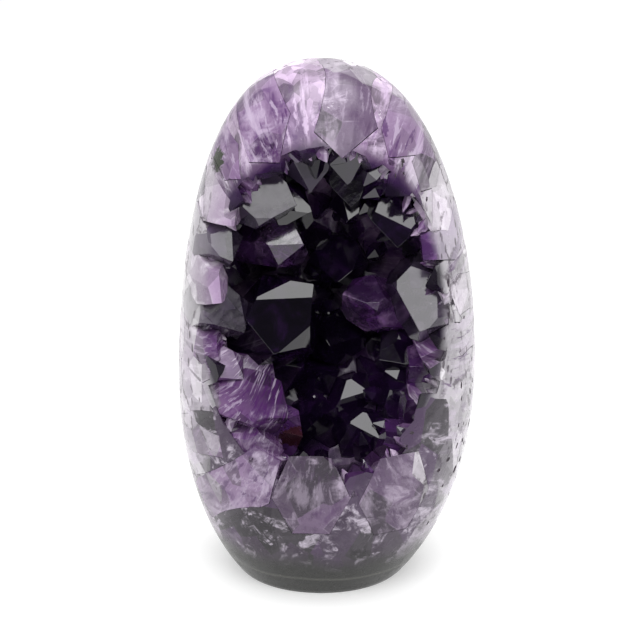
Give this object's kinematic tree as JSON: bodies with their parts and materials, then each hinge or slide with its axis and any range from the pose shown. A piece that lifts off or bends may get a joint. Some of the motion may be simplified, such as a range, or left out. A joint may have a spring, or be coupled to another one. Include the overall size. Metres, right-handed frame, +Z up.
{
  "type": "amethyst geode",
  "caption": "Free-standing polished quartz egg with a sawn flat base and an open front hollow lined with dark amethyst points, for display.",
  "frame": {"origin": "middle of the sawn flat base, at the surface it stands on", "axes": "+Z up through the crown, -Y out of the open hollow towards the viewer, +X to the viewer's right"},
  "size_m": [0.063, 0.0537, 0.112],
  "materials": {
    "polished_quartz": "polished",
    "amethyst": "polished"
  },
  "bodies": {
    "root": {"crystal_centre_deep": "amethyst", "crystal_centre_left_large": "amethyst", "crystal_centre_low": "amethyst", "crystal_centre_right_purple": "amethyst", "crystal_centre_small": "amethyst", "crystal_crown_large": "amethyst", "crystal_crown_left": "amethyst", "crystal_crown_right": "amethyst", "crystal_floor_back_left": "amethyst", "crystal_floor_back_right": "amethyst", "crystal_floor_centre": "amethyst", "crystal_floor_front": "amethyst", "crystal_floor_left": "amethyst", "crystal_floor_right": "amethyst", "crystal_front_lower_large": "amethyst", "crystal_front_lower_right": "amethyst", "crystal_left_dark": "amethyst", "crystal_left_flat_inner": "amethyst", "crystal_left_flat_outer": "amethyst", "crystal_left_inner": "amethyst", "crystal_left_lower_grey": "amethyst", "crystal_left_rim_pale": "amethyst", "crystal_left_rim_violet": "amethyst", "crystal_left_rim_white": "amethyst", "crystal_lower_left_foot": "amethyst", "crystal_lower_left_grey": "amethyst", "crystal_lower_left_lilac": "amethyst", "crystal_lower_left_purple": "amethyst", "crystal_mid_left_lower": "amethyst", "crystal_mid_left_upper": "amethyst", "crystal_right_large": "amethyst", "crystal_right_low": "amethyst", "crystal_right_rim_corner": "amethyst", "crystal_right_rim_dark": "amethyst", "crystal_right_rim_foot": "amethyst", "crystal_right_rim_frosted": "amethyst", "crystal_right_rim_lower": "amethyst", "crystal_right_rim_pink": "amethyst", "crystal_right_rim_top": "amethyst", "crystal_right_rim_upper": "amethyst", "crystal_upper_centre_grey": "amethyst", "crystal_upper_centre_right": "amethyst", "crystal_upper_left_fan": "amethyst", "crystal_upper_left_pale": "amethyst", "crystal_upper_middle_dark": "amethyst", "crystal_upper_right_dark": "amethyst", "crystal_upper_right_small": "amethyst", "crystal_upper_rim_small": "amethyst", "polished_stone": "polished_quartz"}
  },
  "joints": []
}
